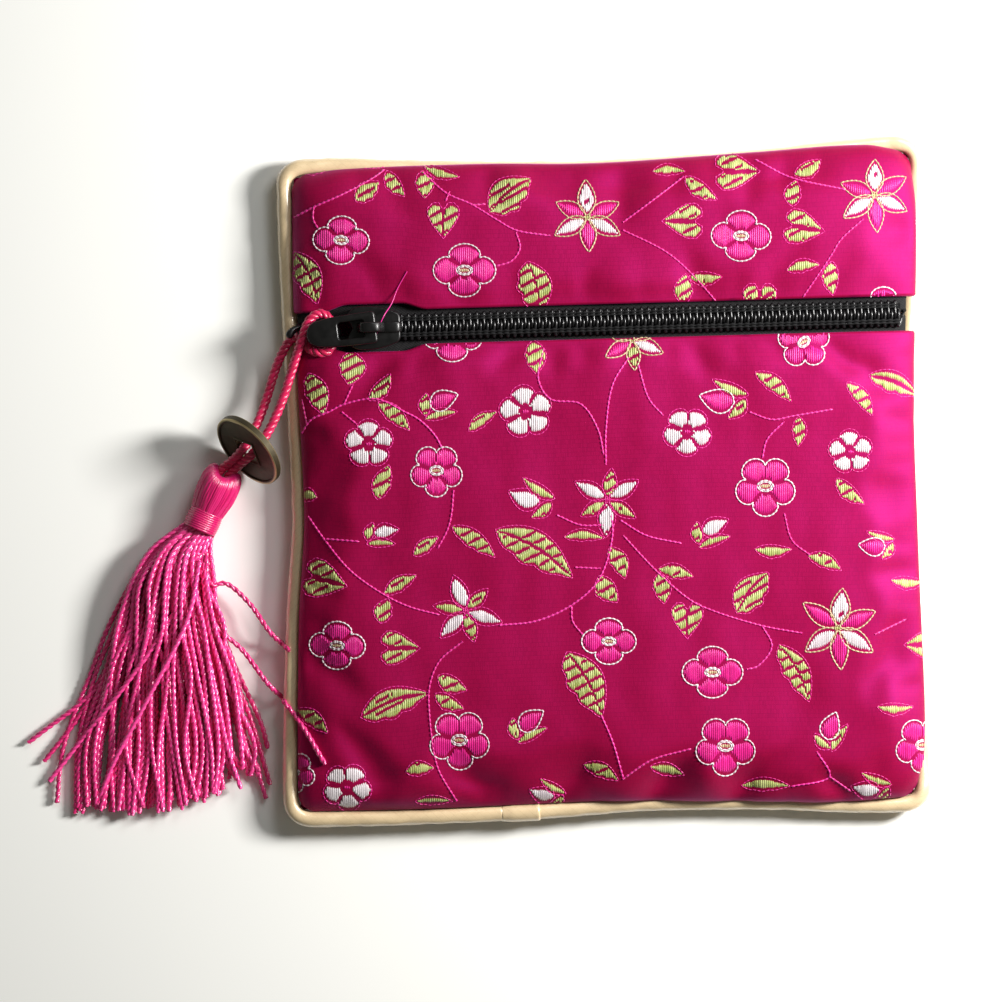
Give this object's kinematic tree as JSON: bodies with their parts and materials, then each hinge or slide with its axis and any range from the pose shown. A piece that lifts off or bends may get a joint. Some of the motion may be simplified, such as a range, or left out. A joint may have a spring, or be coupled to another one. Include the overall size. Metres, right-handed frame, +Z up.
{
  "type": "zipped brocade coin pouch with a corded tassel",
  "caption": "Flat zipped pouch of flowered silk brocade with satin piping, a coil zip, and a tassel with a pierced coin tied to its pull.",
  "frame": {"origin": "on the table under the middle of the pouch itself, without its cord, coin and tassel", "axes": "X to the pouch's right, Y towards its top seam, Z up from the table it lies on"},
  "size_m": [0.1616, 0.122, 0.0131],
  "materials": {
    "brocade": "satin",
    "piping_satin": "satin",
    "zip_cloth": "matte",
    "zip_nylon": "satin",
    "black_enamel": "gloss",
    "cord_silk": "satin",
    "aged_brass": "satin",
    "tassel_silk": "satin"
  },
  "bodies": {
    "root": {"front_upper_panel": "brocade", "front_lower_panel": "brocade", "back_panel": "brocade", "piping": "piping_satin", "piping_join": "piping_satin", "zip_tape_upper": "zip_cloth", "zip_tape_lower": "zip_cloth", "zip_coil_upper": "zip_nylon", "zip_coil_lower": "zip_nylon", "zip_tail": "zip_nylon", "slider": "black_enamel", "puller": "black_enamel", "cord": "cord_silk", "coin": "aged_brass", "tassel": "tassel_silk", "tassel_binding": "tassel_silk"}
  },
  "joints": []
}
